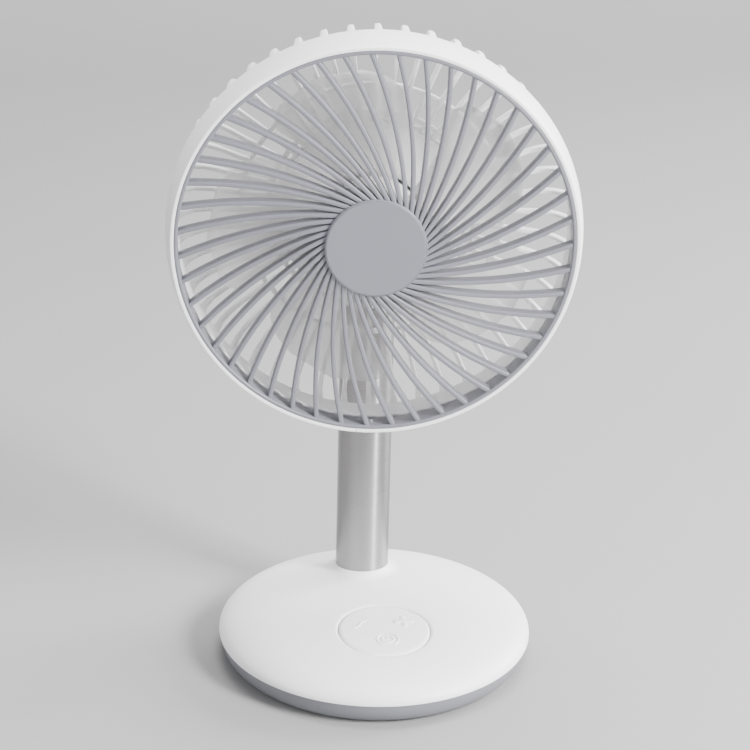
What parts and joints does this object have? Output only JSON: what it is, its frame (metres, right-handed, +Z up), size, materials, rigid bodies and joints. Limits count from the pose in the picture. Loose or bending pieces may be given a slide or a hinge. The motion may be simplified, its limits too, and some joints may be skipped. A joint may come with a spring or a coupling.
{
  "type": "desk fan",
  "caption": "Desk fan with a round grilled head that tilts and swivels on a tubular pole, standing on a round domed base with a flush key plate.",
  "frame": {"origin": "middle of the round base, on the surface that the fan stands on", "axes": "+Z up along the pole; the fan blows towards -Y, with the head swivelled 7.5 degrees towards -X at rest; +X to the right seen from the front"},
  "size_m": [0.1805, 0.1452, 0.3046],
  "materials": {
    "white_shell": "satin moulded plastic",
    "grey_grille": "satin moulded plastic",
    "grey_base": "satin moulded plastic",
    "key_white": "satin gloss",
    "milky_blade": "translucent white",
    "pole_aluminium": "brushed along its length",
    "cast_foot": "as cast",
    "steel_part": "plain steel",
    "weight_iron": "painted black",
    "copper_wire": "enamelled winding",
    "circuit_board": "solder mask",
    "black_plastic": "matt",
    "rubber_pad": "matt",
    "battery_wrap": "shrink sleeve",
    "magnet_black": "bonded ferrite"
  },
  "bodies": {
    "stand": {"base_top": "white_shell", "base_bottom": "grey_base", "weight_plate": "weight_iron", "battery_pack": "battery_wrap", "control_board": "circuit_board", "board_screws": "steel_part", "switch_bodies": "black_plastic", "charge_board": "circuit_board", "usb_socket": "steel_part", "rubber_ring": "rubber_pad", "base_screws": "steel_part", "pole_tube": "pole_aluminium", "swivel_bush": "black_plastic", "pole_foot": "cast_foot", "foot_screws": "steel_part", "pole_lead": "black_plastic"},
    "keys": {"key_plate": "key_white", "switch_caps": "steel_part"},
    "neck": {"neck_fork": "white_shell", "tilt_pin": "steel_part", "tilt_nut": "steel_part", "tilt_washers": "black_plastic", "swivel_clip": "steel_part"},
    "head": {"front_grille": "grey_grille", "hub_cap": "grey_grille", "shroud_ring": "white_shell", "guard_band": "white_shell", "guard_cage": "white_shell", "motor_housing": "white_shell", "rear_cover": "white_shell", "motor_base": "cast_foot", "motor_bearings": "steel_part", "stator_core": "steel_part", "stator_coils": "copper_wire", "motor_board": "circuit_board", "housing_screws": "steel_part", "motor_screws": "steel_part", "cover_screws": "steel_part", "grille_screw": "steel_part", "head_lead": "black_plastic"},
    "rotor": {"impeller": "milky_blade", "spinner_nut": "milky_blade", "motor_shaft": "steel_part", "rotor_bell": "steel_part", "magnet_ring": "magnet_black"}
  },
  "joints": [
    {"name": "head_swivel", "type": "hinge", "parent": "stand", "child": "neck", "pos_m": [0, 0.0372, 0.19], "axis": [0, 0, 1], "range_deg": [-37.5, 52.5]},
    {"name": "head_tilt", "type": "hinge", "parent": "neck", "child": "head", "pos_m": [0, 0.0372, 0.214], "axis": [-0.9914, 0.1305, 0], "range_deg": [-5, 30]},
    {"name": "impeller_spin", "type": "hinge", "parent": "head", "child": "rotor", "pos_m": [0, 0.0372, 0.214], "axis": [-0.1305, -0.9914, 0], "continuous": true},
    {"name": "key_press", "type": "slide", "parent": "stand", "child": "keys", "axis": [0, 0, -1], "range_m": [0, 0.0005], "stiffness_N_per_m": 1000, "springref_m": -0.0005}
  ]
}
